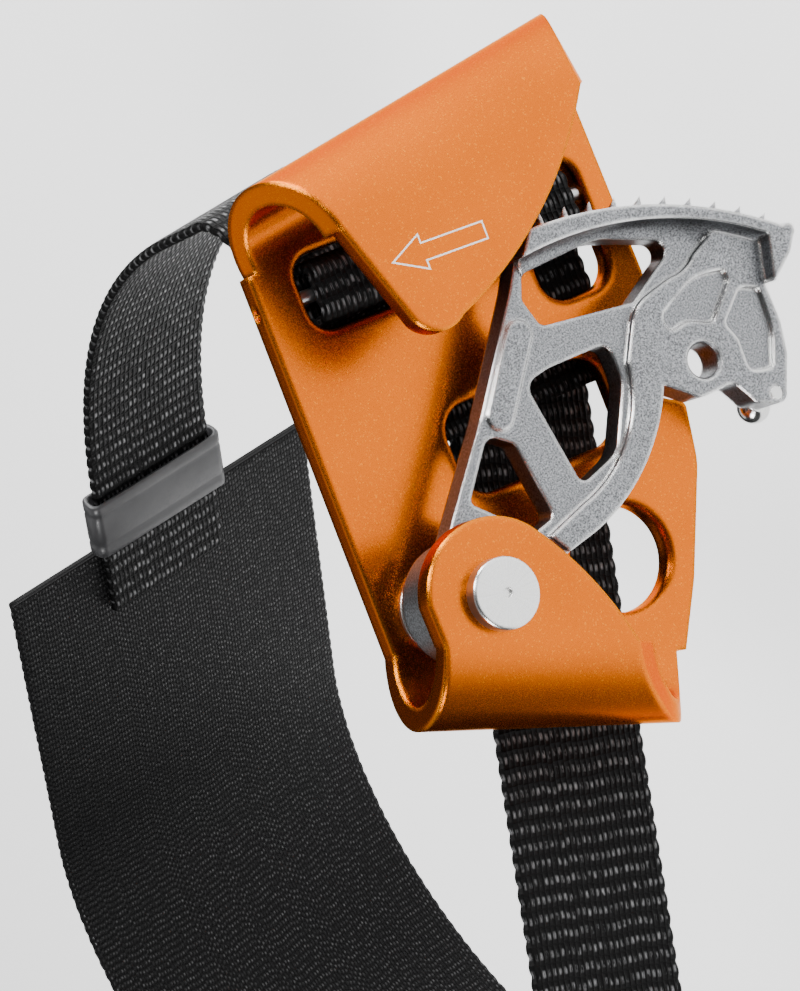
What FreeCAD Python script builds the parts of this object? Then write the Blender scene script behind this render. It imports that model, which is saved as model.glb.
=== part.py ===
import FreeCAD, Part
import math
import os
import Sketcher
from FreeCAD import Placement, Rotation, Vector

# Foot ascender for the right foot: a bent plate frame, a toothed cam on a sprung axle
# and a webbing foot loop.  Millimetres.  Origin: middle of the rope channel, on the rope
# axis.  +Z runs up the rope, -Y faces the viewer of the flaps, the cam axle lies at -X.
# Outlines are drawn from the cam axle, in the plane of the plate (x across, y up the rope).

doc = FreeCAD.newDocument("ascender")
PIECES = []
sheet = doc.addObject("Spreadsheet::Sheet", "sizes")

SIZES = [
    ("rope_from_axle", 56.5, "rope axis to cam axle"),
    ("channel_mid_drop", 30.0, "cam axle above the middle of the rope channel"),
    ("channel_radius", 8.0, "inside radius of both folds: rope up to 13 mm plus play"),
    ("plate_thick", 3.5, "frame plate"),
    ("hood_top", -0.6, "upper end of the hood at the back plate, from the axle"),
    ("hood_top_front", -7.2, "upper end of the hood at the flap"),
    ("hood_bottom", -62.3, "lower end of the hood at the back plate"),
    ("hood_bottom_front", -53.2, "lower end of the hood at the flap"),
    ("flap_reach", 20.0, "hood flap beyond the rope axis"),
    ("fold_turn", 29.2, "turn of the lower fold against the rope, degrees"),
    ("fold_reach", 7.1, "lower fold axis from the cam axle"),
    ("fold_tip", 11.4, "radius of the lower flap around the axle"),
    ("window_turn", 9.5, "turn of the strap windows against the rope, degrees"),
    ("window_long", 50.2, "strap window, along"),
    ("window_high", 11.8, "strap window, across"),
    ("slot_long", 28.5, "middle slot, along"),
    ("slot_high", 14.0, "middle slot, across"),
    ("link_hole_radius", 8.25, "round hole for a connector"),
    ("window_round", 1.2, "rounded edge of the openings in the plate"),
    ("axle_radius", 3.0, "rivet shank"),
    ("axle_head_radius", 5.35, "turned head"),
    ("axle_head_high", 2.6, "turned head above the flap"),
    ("centre_mark", 0.7, "turning mark in the head"),
    ("axle_tail_radius", 4.7, "set head behind the plate"),
    ("axle_tail_high", 1.4, "set head behind the washer"),
    ("sleeve_wall", 1.0, "steel sleeve on the rivet"),
    ("running_gap", 0.05, "radial play of a running fit"),
    ("washer_thick", 0.8, "flat washers"),
    ("side_gap", 0.1, "play beside a turning face"),
    ("cam_web", 4.4, "cam web"),
    ("cam_rise", 1.2, "raised right band of the cam"),
    ("cove_radius", 3.5, "cove between the rim and the web"),
    ("pocket_deep", 0.9, "pockets in the lobe"),
    ("hole_chamfer", 0.4, "edge of the cord hole"),
    ("cam_width", 13.0, "toothed rim, along the axle"),
    ("cam_hub_radius", 9.4, "cam hub"),
    ("rim_radius", 69.05, "toothed rim"),
    ("cord_hole_radius", 2.65, "cord hole in the lobe"),
    ("tooth_high", 1.7, "tooth"),
    ("tooth_radius", 1.0, "foot of a tooth"),
    ("tooth_lean", 0.9, "tooth tip leans back by"),
    ("tooth_rows", 3, "rows of teeth"),
    ("tooth_count", 10, "teeth in a row"),
    ("tooth_step", 3.5, "angle between teeth, degrees"),
    ("stud_radius", 1.0, "thumb stud shank"),
    ("stud_ball", 2.6, "thumb stud ball"),
    ("spring_wire", 0.6, "radius of the spring wire"),
    ("spring_turns", 2.5, "turns of the spring"),
    ("pin_radius", 1.1, "strap pin"),
    ("pin_depth", 10.1, "strap pin, in the thickness of the plate"),
    ("web_thick", 1.8, "webbing"),
    ("web_width", 25.0, "webbing"),
    ("web_gap", 0.3, "play between layers and neighbours"),
    ("tab_fold", 4.6, "flat front of the tab over the pin"),
    ("tab_bend", 1.9, "bends of the tab beside the pin"),
    ("tab_drop", 22.0, "tab behind the plate"),
    ("band_width", 65.0, "band under the boot"),
    ("band_thick", 1.6, "band under the boot"),
    ("strap_turn", 23.7, "turn of the lower strap against the rope, degrees"),
    ("buckle_thick", 3.2, "buckle plate"),
    ("buckle_bar", 4.0, "width of the buckle bars"),
    ("keeper_long", 12.0, "keeper along the strap"),
    ("keeper_wall", 1.0, "keeper wall"),
    ("thread", 0.5, "height of a row of stitches"),
]

for row, (alias, value, note) in enumerate(SIZES, start=1):
    sheet.set("A%d" % row, alias)
    sheet.set("B%d" % row, str(value))
    sheet.setAlias("B%d" % row, alias)
    sheet.set("C%d" % row, note)
doc.recompute()


def size(alias):
    return float(sheet.get(alias))


# ---------------------------------------------------------------- drawing helpers

def origin_plane(body, role):
    return next(f for f in body.Origin.OriginFeatures if f.Role == role)


def new_body(name):
    """A body whose own origin is the cam axle, at mid-channel depth."""
    body = doc.addObject("PartDesign::Body", name)
    body.Label = name
    seat(body)
    return body


def seat(piece, x="", y="", z=""):
    """Place a piece from the cam axle, with an offset by expression."""
    piece.setExpression("Placement.Base.x", "-sizes.rope_from_axle" + x)
    if y:
        piece.setExpression("Placement.Base.y", y)
    piece.setExpression("Placement.Base.z", "sizes.channel_mid_drop" + z)


def new_sketch(body, name, role, lift="0", axis=None, turn=None):
    """A sketch on an origin plane, lifted along its normal and turned by expressions."""
    sketch = body.newObject("Sketcher::SketchObject", name)
    sketch.AttachmentSupport = [(origin_plane(body, role), "")]
    sketch.MapMode = "FlatFace"
    if axis is not None:
        angle = size(turn.replace("sizes.", ""))
        sketch.AttachmentOffset = Placement(Vector(0, 0, 0), Rotation(axis, angle))
        along = sketch.AttachmentOffset.Rotation.multVec(Vector(0, 0, 1))
        for letter, part in zip("xyz", along):
            sketch.setExpression("AttachmentOffset.Base." + letter, "(%s) * %.9f" % (lift, part))
    else:
        sketch.setExpression("AttachmentOffset.Base.z", lift)
    return sketch


def flat(x, y):
    return Vector(x, y, 0)


def draw_line(sketch, start, end):
    sketch.addGeometry(Part.LineSegment(flat(*start), flat(*end)), False)


def draw_arc(sketch, start, via, end):
    sketch.addGeometry(Part.Arc(flat(*start), flat(*via), flat(*end)), False)


def draw_circle(sketch, centre, radius):
    """A circle whose radius is an expression."""
    index = sketch.addGeometry(Part.Circle(flat(*centre), Vector(0, 0, 1), 1), False)
    rule = sketch.addConstraint(Sketcher.Constraint("Radius", index, 1))
    sketch.setExpression("Constraints[%d]" % rule, radius)


def draw_path(sketch, start, steps):
    """Closed path: each step is an end point, or a pair (via point, end point) for an arc."""
    here = start
    for step in steps:
        if isinstance(step[0], tuple):
            draw_arc(sketch, here, step[0], step[1])
            here = step[1]
        else:
            draw_line(sketch, here, step)
            here = step
    if math.dist(here, start) > 1e-6:
        draw_line(sketch, here, start)


def rounded(corners):
    """Path through corners (x, y, radius), each corner rounded: start point and steps."""
    steps = []
    count = len(corners)
    for i, (x, y, radius) in enumerate(corners):
        before = Vector(corners[i - 1][0] - x, corners[i - 1][1] - y, 0).normalize()
        after = Vector(corners[(i + 1) % count][0] - x, corners[(i + 1) % count][1] - y, 0).normalize()
        corner = Vector(x, y, 0)
        if radius <= 0:
            steps.append((x, y))
            continue
        half = before.getAngle(after) / 2
        reach = radius / math.tan(half)
        first = corner + before * reach
        last = corner + after * reach
        centre = corner + (before + after).normalize() * (radius / math.sin(half))
        via = centre + (corner - centre).normalize() * radius
        steps.append((first.x, first.y))
        steps.append(((via.x, via.y), (last.x, last.y)))
    start = steps[-1][1] if isinstance(steps[-1][0], tuple) else steps[-1]
    return start, steps


def pad(body, sketch, length, name):
    feature = body.newObject("PartDesign::Pad", name)
    feature.Profile = sketch
    feature.setExpression("Length", length)
    doc.recompute()
    return feature


def cut(body, sketch, length, name, reverse=False, both=False):
    """A pocket that has to take material away."""
    volume = body.Shape.Volume
    feature = body.newObject("PartDesign::Pocket", name)
    feature.Profile = sketch
    feature.setExpression("Length", length)
    feature.Reversed = reverse
    feature.Midplane = both
    doc.recompute()
    if body.Shape.Volume > volume - 1e-3:
        raise RuntimeError(name + " cuts nothing")
    return feature


def fillet_edges(body, name, radius, wanted):
    """Fillet the edges of the body that the test picks."""
    shape = body.Shape
    names = ["Edge%d" % (i + 1) for i, edge in enumerate(shape.Edges) if wanted(edge)]
    base = body.Tip
    feature = body.newObject("PartDesign::Fillet", name)
    feature.Base = (base, names)
    feature.setExpression("Radius", radius)
    doc.recompute()
    return feature


def turned(along, across, degrees):
    """Point given along and across a line turned from the downward rope direction."""
    turn = math.radians(degrees)
    x = across * math.cos(turn) - along * math.sin(turn)
    y = -across * math.sin(turn) - along * math.cos(turn)
    return x, y


def ribbon(sketch, start, heading, moves, thick):
    """Outline of a band of even thickness: moves are (length,) or (radius, degrees)."""
    x, y = start
    angle = math.radians(heading)
    left = []
    right = []
    half = thick / 2

    def side(offset):
        return x - offset * math.sin(angle), y + offset * math.cos(angle)

    first = (side(half), side(-half))
    for move in moves:
        if len(move) == 1:
            x += move[0] * math.cos(angle)
            y += move[0] * math.sin(angle)
            left.append(side(half))
            right.append(side(-half))
            continue
        radius, degrees = move
        hand = math.copysign(1, degrees)
        centre_x = x - hand * radius * math.sin(angle)
        centre_y = y + hand * radius * math.cos(angle)
        points = []
        for share in (0.5, 1.0):
            now = angle + math.radians(degrees) * share
            outward = (math.sin(now) * hand, -math.cos(now) * hand)
            points.append([(centre_x + outward[0] * r, centre_y + outward[1] * r)
                           for r in (radius - hand * half, radius + hand * half)])
        x = centre_x + math.sin(angle + math.radians(degrees)) * hand * radius
        y = centre_y - math.cos(angle + math.radians(degrees)) * hand * radius
        angle += math.radians(degrees)
        left.append((points[0][0], points[1][0]))
        right.append((points[0][1], points[1][1]))
    ends = [first[1]] + [s[1] if isinstance(s[0], tuple) else s for s in right]
    back = [ends[-1]]
    for i in range(len(right) - 1, -1, -1):
        step = right[i]
        back.append((step[0], ends[i]) if isinstance(step[0], tuple) else ends[i])
    draw_path(sketch, first[0], left + back)
    return (x, y), math.degrees(angle)


# ---------------------------------------------------------------- shared places

AXIS_Y = Vector(0, 1, 0)
outer_radius = size("channel_radius") + size("plate_thick")
inside = "sizes.channel_radius"
outside = "(sizes.channel_radius + sizes.plate_thick)"
through = "4 * " + outside
pin_along_start = -8.5
pin_along_end = 51.0
window_left = -2.3
window_low = 44.2
pin_across = window_low + size("window_high") / 2
lobe_high = 8.7
lobe_left = 35.6
slot_left = 11.5
slot_low = 13.0
tab_width = size("window_long") - 3.4
cord_hole = (11.0, -53.0)
stud_place = (0.75, -61.1)
ball_place = (-0.35, -61.1)
rim_centre = (-26.2, -25.3)
fold_left = -9.2
fold_left_back = -8.1
fold_right = 22.2
fold_right_mid = 33.9
fold_right_back = 40.6
fold_long = fold_right_back + 3.4
spare = 3.0
tab_gap = 0.05
lap_gap = 0.1
coil_gap = 0.1


def at_window(along, across):
    return turned(along, across, size("window_turn"))


def at_fold(along, across):
    """Point along the lower fold and out from the axle towards it."""
    return turned(along, -across, size("fold_turn"))


# ---------------------------------------------------------------- frame

def make_frame():
    body = new_body("frame")
    rope_x = size("rope_from_axle")
    reach = size("fold_reach")

    back = new_sketch(body, "back_outline", "XZ_Plane", "-" + outside)
    corners = [
        (rope_x, size("hood_top") + 0.8, 0),
        at_fold(fold_left_back, reach) + (0,),
        at_fold(fold_right_back, reach) + (0,),
        (-17.7, -39.2, 3.0),
        (-3.0, -49.8, 12.0),
        (5.6, -53.0, 1.2),
        (8.9, -49.0, 1.0),
        (17.5, -49.0, 4.0),
        (25.6, -57.6, 2.0),
        (rope_x, size("hood_bottom"), 0),
    ]
    start, steps = rounded(corners)
    draw_path(back, start, steps)
    pad(body, back, "sizes.plate_thick", "back_plate")

    hood = new_sketch(body, "hood_ring", "XY_Plane", "sizes.hood_bottom - %g" % spare)
    inner = size("channel_radius")
    draw_arc(hood, (rope_x, -outer_radius), (rope_x + outer_radius, 0), (rope_x, outer_radius))
    draw_line(hood, (rope_x, outer_radius), (rope_x, inner))
    draw_arc(hood, (rope_x, inner), (rope_x + inner, 0), (rope_x, -inner))
    draw_line(hood, (rope_x, -inner), (rope_x, -outer_radius))
    pad(body, hood, "sizes.hood_top - sizes.hood_bottom + %g" % (2 * spare), "hood_fold")

    flap = new_sketch(body, "hood_flap_outline", "XZ_Plane", inside)
    tip_x = rope_x - size("flap_reach")
    top = size("hood_top_front")
    draw_path(flap, (rope_x, top), [
        (tip_x + 3.0, top - 2.9),
        ((tip_x + 0.2, top - 5.5), (tip_x + 0.4, top - 10.3)),
        ((tip_x + 5.6, top - 26.5), (rope_x, size("hood_bottom_front"))),
    ])
    pad(body, flap, "sizes.plate_thick", "hood_flap")

    wide = outer_radius + 1
    ends = new_sketch(body, "hood_ends", "YZ_Plane", "sizes.rope_from_axle")
    draw_path(ends, (-wide, size("hood_top") + 5), [
        (-wide, top),
        (-outer_radius, top),
        ((0, size("hood_top") - 2.6), (outer_radius, size("hood_top"))),
        (wide, size("hood_top")),
        (wide, size("hood_top") + 5),
    ])
    draw_path(ends, (-wide, size("hood_bottom") - 5), [
        (wide, size("hood_bottom") - 5),
        (wide, size("hood_bottom")),
        (outer_radius, size("hood_bottom")),
        ((0, size("hood_bottom") + 2.6), (-outer_radius, size("hood_bottom_front"))),
        (-wide, size("hood_bottom_front")),
    ])
    cut(body, ends, outside + " + 1", "hood_end_cuts", reverse=True)

    fold = new_sketch(body, "lower_ring", "XY_Plane", "-%g" % fold_long, AXIS_Y, "sizes.fold_turn")
    draw_arc(fold, (-reach, outer_radius), (-reach - outer_radius, 0), (-reach, -outer_radius))
    draw_line(fold, (-reach, -outer_radius), (-reach, -inner))
    draw_arc(fold, (-reach, -inner), (-reach - inner, 0), (-reach, inner))
    draw_line(fold, (-reach, inner), (-reach, outer_radius))
    pad(body, fold, "%g" % (fold_long - fold_left + spare), "lower_fold")

    tip = size("fold_tip")
    flap = new_sketch(body, "lower_flap_outline", "XZ_Plane", inside)
    upper = (tip * math.cos(math.radians(68)), tip * math.sin(math.radians(68)))
    lower = (tip * math.cos(math.radians(-59)), tip * math.sin(math.radians(-59)))
    corner = at_fold(fold_right, reach)
    middle = ((lower[0] + corner[0]) / 2 - 0.9, (lower[1] + corner[1]) / 2 - 1.6)
    draw_path(flap, at_fold(fold_left, reach), [upper, ((tip, 0), lower), (middle, corner)])
    pad(body, flap, "sizes.plate_thick", "lower_flap")

    ends = new_sketch(body, "lower_ends", "YZ_Plane", "-sizes.fold_reach", Vector(1, 0, 0),
                      "sizes.fold_turn")
    draw_path(ends, (-wide, -fold_left), [
        (wide, -fold_left_back),
        (wide, spare - fold_left + 2),
        (-wide, spare - fold_left + 2),
    ])
    draw_path(ends, (-wide, -fold_long - 2), [
        (wide, -fold_long - 2),
        (wide, -fold_right_back),
        (outer_radius, -fold_right_back),
        ((0, -fold_right_mid), (-outer_radius, -fold_right)),
        (-wide, -fold_right),
    ])
    cut(body, ends, outside + " + 1", "lower_end_cuts")

    windows = new_sketch(body, "window_outlines", "XZ_Plane", "-" + outside)
    low = window_low
    high = window_low + size("window_high")
    right = window_left + size("window_long")
    shape = [
        (window_left, high, 3.5), (window_left, low, 3.5), (lobe_left, low, 2),
        (lobe_left, low - lobe_high, 4), (right, low - lobe_high, 4.5), (right, high, 3.5),
    ]
    start, steps = rounded([at_window(a, b) + (r,) for a, b, r in shape])
    draw_path(windows, start, steps)
    slot_right = slot_left + size("slot_long")
    slot_top = slot_low + size("slot_high")
    shape = [(slot_left, slot_top), (slot_left, slot_low), (slot_right, slot_low), (slot_right, slot_top)]
    start, steps = rounded([at_window(a, b) + (4.5,) for a, b in shape])
    draw_path(windows, start, steps)
    draw_circle(windows, (-8.7, -30.2), "sizes.link_hole_radius")
    cut(body, windows, "sizes.plate_thick", "windows", reverse=True)

    hole = new_sketch(body, "axle_hole", "XZ_Plane")
    draw_circle(hole, (0, 0), "sizes.axle_radius")
    cut(body, hole, through, "axle_bore", both=True)

    bore = new_sketch(body, "pin_hole", "XY_Plane", "-%g" % pin_along_end, AXIS_Y, "sizes.window_turn")
    draw_circle(bore, (pin_across, size("pin_depth")), "sizes.pin_radius")
    cut(body, bore, "%g" % (pin_along_end - pin_along_start + 10), "pin_bore", reverse=True)
    fillet_edges(body, "window_rounds", "sizes.window_round", opening_edge(body.Shape))
    return body


def opening_edge(shape):
    """Test for the edges of the windows, slot and round hole on the front of the back plate."""
    depth = size("channel_radius")
    plates = [f for f in shape.Faces if f.BoundBox.YLength < 1e-3 and abs(f.BoundBox.YMin - depth) < 1e-3]
    plate = max(plates, key=lambda f: f.Area)
    rings = [w for w in plate.Wires if not w.isSame(plate.OuterWire)]
    bore = 2 * math.pi * size("axle_radius")
    edges = [e for w in rings if w.Length > bore + 1 for e in w.Edges]
    return lambda edge: any(edge.isSame(e) for e in edges)


# ---------------------------------------------------------------- cam

def cam_outline():
    """Right side of the cam from the rim's heel down the lobe to the hub."""
    heel = (15.6, -68.8)
    steps = [
        (9.6, -67.9),
        (4.9, -66.2),
        (0.2, -62.9),
        ((-0.9, -61.6), (-0.5, -60.2)),
        (0.6, -58.2),
        ((1.2, -57.4), (2.2, -57.0)),
        (4.7, -56.0),
        ((5.7, -55.0), (5.9, -53.6)),
        (6.3, -50.2),
        ((6.8, -49.0), (7.8, -48.1)),
        (11.2, -44.9),
        ((3.2, -36.3), (-1.5, -22.6)),
    ]
    return heel, steps


def rim_point(degrees, radius):
    turn = math.radians(degrees)
    return rim_centre[0] + radius * math.cos(turn), rim_centre[1] + radius * math.sin(turn)


def back_again(start, steps):
    """The same path walked from its far end to its start."""
    ends = [start] + [s[1] if isinstance(s[0], tuple) else s for s in steps]
    back = []
    for i in range(len(steps) - 1, -1, -1):
        step = steps[i]
        back.append((step[0], ends[i]) if isinstance(step[0], tuple) else ends[i])
    return back


def make_cove(body, side):
    """Concave fillet between the web and the inside of the rim, on one face of the web."""
    centre = (-20.07, -30.71)
    inner = 59.02
    first = 3.0
    last = 44.0
    cove = body.newObject("Sketcher::SketchObject", "cove_section" + ("_front" if side < 0 else "_rear"))
    cove.AttachmentSupport = [(origin_plane(body, "XY_Plane"), "")]
    cove.MapMode = "FlatFace"
    cove.AttachmentOffset = Placement(Vector(centre[0], 0, centre[1]), Rotation(AXIS_Y, first))
    round_in = size("cove_radius")
    face = side * size("cam_web") / 2
    top = face + side * round_in
    bed = face - side * 0.4
    bend = round_in * math.cos(math.radians(45))
    draw_path(cove, (inner + 0.6, bed), [
        (inner + 0.6, top),
        (inner, top),
        ((inner - round_in + bend, top - side * bend), (inner - round_in, face)),
        (inner - round_in, bed),
    ])
    sweep = body.newObject("PartDesign::Revolution", "cove" + ("_front" if side < 0 else "_rear"))
    sweep.Profile = cove
    sweep.ReferenceAxis = (cove, ["V_Axis"])
    sweep.Angle = last - first
    volume = body.Shape.Volume
    doc.recompute()
    if body.Shape.Volume < volume + 1:
        raise RuntimeError("the cove adds nothing")


def make_cam():
    body = new_body("cam")
    web_back = "-sizes.cam_web / 2"
    rim_edge = "-sizes.cam_width / 2"
    radius = size("rim_radius")
    heel, side = cam_outline()

    web = new_sketch(body, "web_outline", "XZ_Plane", web_back)
    draw_path(web, (4.8, 4.0), [
        (21.5, -15.9),
        (35.2, -30.7),
        (38.6, -33.9),
        (39.6, -37.5),
        (rim_point(-26, radius - 2), rim_point(-43, radius - 2)),
        (18.5, -72.4),
        heel,
    ] + side + [(-3.4, -4.0)])
    pad(body, web, "sizes.cam_web", "web")

    band = new_sketch(body, "band_outline", "XZ_Plane", "sizes.cam_web / 2 - 0.5")
    draw_path(band, rim_point(-37.5, radius - 2), [
        (25.2, -60.3),
        ((24.2, -58.0), (24.2, -55.0)),
        (23.9, -50.0),
        ((23.0, -47.2), (21.0, -45.0)),
        (17.0, -41.6),
        ((7.4, -35.0), (2.9, -23.5)),
        (1.7, -16.0),
        (-1.8, -17.5),
    ] + [side[-1][1]] + back_again(heel, side) + [(18.5, -72.4), rim_point(-43, radius - 2)])
    pad(body, band, "sizes.cam_rise + 0.5", "raised_band")

    rim = new_sketch(body, "rim_outline", "XZ_Plane", rim_edge)
    toe = rim_point(-9.4, radius)
    draw_path(rim, toe, [
        (rim_point(-26, radius), rim_point(-45.6, radius)),
        ((21.6, -76.0), (19.9, -75.4)),
        (18.1, -73.6),
        heel,
        (22.2, -71.9),
        ((34.9, -52.2), (38.9, -33.2)),
    ])
    pad(body, rim, "sizes.cam_width", "toothed_rim")
    for side in (-1, 1):
        make_cove(body, side)

    hub = new_sketch(body, "hub_outline", "XZ_Plane", "-1.6")
    draw_circle(hub, (0, 0), "sizes.cam_hub_radius")
    pad(body, hub, "1.6 + " + inside + " - sizes.washer_thick - 2 * sizes.side_gap", "hub")

    windows = new_sketch(body, "cam_windows", "XZ_Plane")
    start, steps = rounded([(36.5, -33.8, 1.3), (35.2, -47.4, 12), (28.4, -59.6, 1.8),
                            (24.0, -48.0, 1.4), (28.4, -32.3, 1.6), (33.2, -31.7, 1.5)])
    draw_path(windows, start, steps)
    start, steps = rounded([(22.5, -25.3, 2.2), (5.2, -25.2, 1.4), (6.4, -33.0, 5), (15.0, -39.9, 6),
                            (21.0, -40.8, 2.0), (22.6, -30.0, 8)])
    draw_path(windows, start, steps)
    start, steps = rounded([(12.1, -7.6, 1.0), (19.2, -15.6, 1.8), (15.9, -18.9, 1.5),
                            (3.6, -18.7, 1.5), (3.2, -14.6, 0.8)])
    draw_path(windows, start, steps)
    cut(body, windows, through, "cam_window_cuts", both=True)

    pockets = new_sketch(body, "lobe_pockets", "XZ_Plane", "sizes.cam_web / 2 + sizes.cam_rise")
    for corners in ([(17.3, -50.3, 1.0), (20.2, -50.4, 1.4), (22.6, -58.6, 8.0), (20.9, -63.9, 0.9),
                     (19.0, -63.4, 0.5), (15.0, -57.6, 1.1), (17.3, -54.0, 2.0)],
                    [(17.4, -64.6, 1.4), (15.6, -67.6, 1.1), (9.6, -66.3, 9.0), (4.2, -62.9, 1.1),
                     (5.6, -58.9, 1.7), (10.8, -60.0, 3.0), (13.9, -59.2, 1.2)]):
        start, steps = rounded(corners)
        draw_path(pockets, start, steps)
    cut(body, pockets, "sizes.pocket_deep", "lobe_pocket_cuts")

    rest = new_sketch(body, "thumb_pad", "XZ_Plane", "sizes.cam_web / 2 - 0.3")
    start, steps = rounded([(29.1, -31.4, 2.1), (32.2, -28.5, 2.1), (20.6, -16.0, 2.1), (17.5, -18.9, 2.1)])
    draw_path(rest, start, steps)
    pad(body, rest, "0.8", "pad_rise")

    bore = new_sketch(body, "cam_bore", "XZ_Plane")
    draw_circle(bore, (0, 0), "sizes.axle_radius + sizes.sleeve_wall + sizes.running_gap")
    cut(body, bore, through, "cam_bore_cut", both=True)

    cord = new_sketch(body, "cord_hole", "XZ_Plane")
    draw_circle(cord, cord_hole, "sizes.cord_hole_radius")
    cut(body, cord, through, "cord_hole_cut", both=True)

    stud = new_sketch(body, "stud_hole", "XZ_Plane")
    draw_circle(stud, stud_place, "sizes.stud_radius")
    cut(body, stud, through, "stud_hole_cut", both=True)

    soften_cord_hole(body)
    make_teeth(body)
    return body


def soften_cord_hole(body):
    """Chamfer on the front edge of the cord hole."""
    front = -size("cam_web") / 2 - size("cam_rise")
    around = 2 * math.pi * size("cord_hole_radius")
    names = ["Edge%d" % (i + 1) for i, edge in enumerate(body.Shape.Edges)
             if abs(edge.BoundBox.YMin - front) < 1e-3 and edge.BoundBox.YLength < 1e-3
             and abs(edge.Length - around) < 1e-2]
    base = body.Tip
    feature = body.newObject("PartDesign::Chamfer", "cord_hole_edge")
    feature.Base = (base, names)
    feature.setExpression("Size", "sizes.hole_chamfer")
    doc.recompute()


def make_teeth(body):
    """Rows of leaning spikes on the rim, every second row half a step on."""
    rows = int(size("tooth_rows"))
    spread = size("cam_width") / rows
    for row in range(rows):
        begin = -11.6 - (row % 2) * size("tooth_step") / 2
        tooth = body.newObject("Sketcher::SketchObject", "tooth_%d" % row)
        tooth.AttachmentSupport = [(origin_plane(body, "XZ_Plane"), "")]
        tooth.MapMode = "FlatFace"
        lift = (row - (rows - 1) / 2) * spread
        tooth.AttachmentOffset = Placement(Vector(rim_centre[0], rim_centre[1], lift),
                                           Rotation(Vector(0, 0, 1), begin))
        root = size("rim_radius") - 0.4
        tip = size("rim_radius") + size("tooth_high")
        draw_path(tooth, (root, -size("tooth_lean") / 6), [
            (tip, -size("tooth_lean")),
            (root, size("tooth_radius")),
        ])
        spike = body.newObject("PartDesign::Revolution", "spike_%d" % row)
        spike.Profile = tooth
        doc.recompute()
        edge = next(i + 1 for i, e in enumerate(tooth.Shape.Edges)
                    if min(v.Point.distanceToPoint(tooth_axis_end(tooth, root)) for v in e.Vertexes) < 1e-4
                    and e.Length > size("tooth_high"))
        spike.ReferenceAxis = (tooth, ["Edge%d" % edge])
        spike.Angle = 360
        doc.recompute()
        ring = body.newObject("PartDesign::PolarPattern", "row_%d" % row)
        ring.Originals = [spike]
        ring.Axis = (tooth, ["N_Axis"])
        ring.Reversed = True
        count = int(size("tooth_count")) - row % 2
        ring.Angle = size("tooth_step") * (count - 1)
        ring.Occurrences = count
        doc.recompute()
        body.Tip = ring
        doc.recompute()


def tooth_axis_end(tooth, root):
    return tooth.Placement.multVec(Vector(root, -size("tooth_lean") / 6, 0))


# ---------------------------------------------------------------- axle parts

def ring(name, inner, outer, near, far):
    """A washer or sleeve on the cam axle between two depths, all by expression."""
    tube = doc.addObject("Part::Cylinder", name + "_outer")
    hole = doc.addObject("Part::Cylinder", name + "_inner")
    for piece, radius in ((tube, outer), (hole, inner)):
        piece.setExpression("Radius", radius)
        piece.setExpression("Height", "(%s) - (%s)" % (far, near))
        piece.Placement = Placement(Vector(), Rotation(Vector(1, 0, 0), -90))
        seat(piece, y=near)
    result = doc.addObject("Part::Cut", name)
    result.Label = name
    result.Base = tube
    result.Tool = hole
    PIECES.append(name)
    doc.recompute()


def turned_piece(name, steps, place=(0, 0)):
    """A body of stacked discs along the depth: (near, far, radius) by expression."""
    body = new_body(name)
    for number, (near, far, radius) in enumerate(steps):
        disc = new_sketch(body, "%s_disc_%d" % (name, number), "XZ_Plane", "-(%s)" % far)
        draw_circle(disc, place, radius)
        pad(body, disc, "(%s) - (%s)" % (far, near), "%s_step_%d" % (name, number))
    return body


def make_axle():
    tail = outside + " + sizes.washer_thick"
    body = turned_piece("axle", [
        ("-" + outside, tail, "sizes.axle_radius"),
        ("-" + outside + " - sizes.axle_head_high", "-" + outside, "sizes.axle_head_radius"),
        (tail, tail + " + sizes.axle_tail_high", "sizes.axle_tail_radius"),
    ])
    dimple = new_sketch(body, "centre_mark", "XZ_Plane", outside + " + sizes.axle_head_high")
    draw_circle(dimple, (0, 0), "sizes.centre_mark")
    cut(body, dimple, "0.5", "centre_mark_cut")
    front = -outer_radius - size("axle_head_high")
    fillet_edges(body, "head_rim", "0.5",
                 lambda e: abs(e.CenterOfMass.y - front) < 1e-3 and e.BoundBox.XLength > 6)


def make_axle_rings():
    sleeve = "sizes.axle_radius + sizes.sleeve_wall"
    ring("sleeve", "sizes.axle_radius", sleeve, "-" + inside, inside)
    bore = sleeve + " + sizes.running_gap"
    ring("washer_front", bore, "sizes.fold_reach - 0.1", "-" + inside,
         "-" + inside + " + sizes.washer_thick")
    ring("washer_rear", bore, "sizes.fold_reach - 0.1", inside + " - sizes.washer_thick", inside)
    ring("rivet_washer", "sizes.axle_radius", "sizes.axle_tail_radius + 1.6", outside,
         outside + " + sizes.washer_thick")


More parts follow.
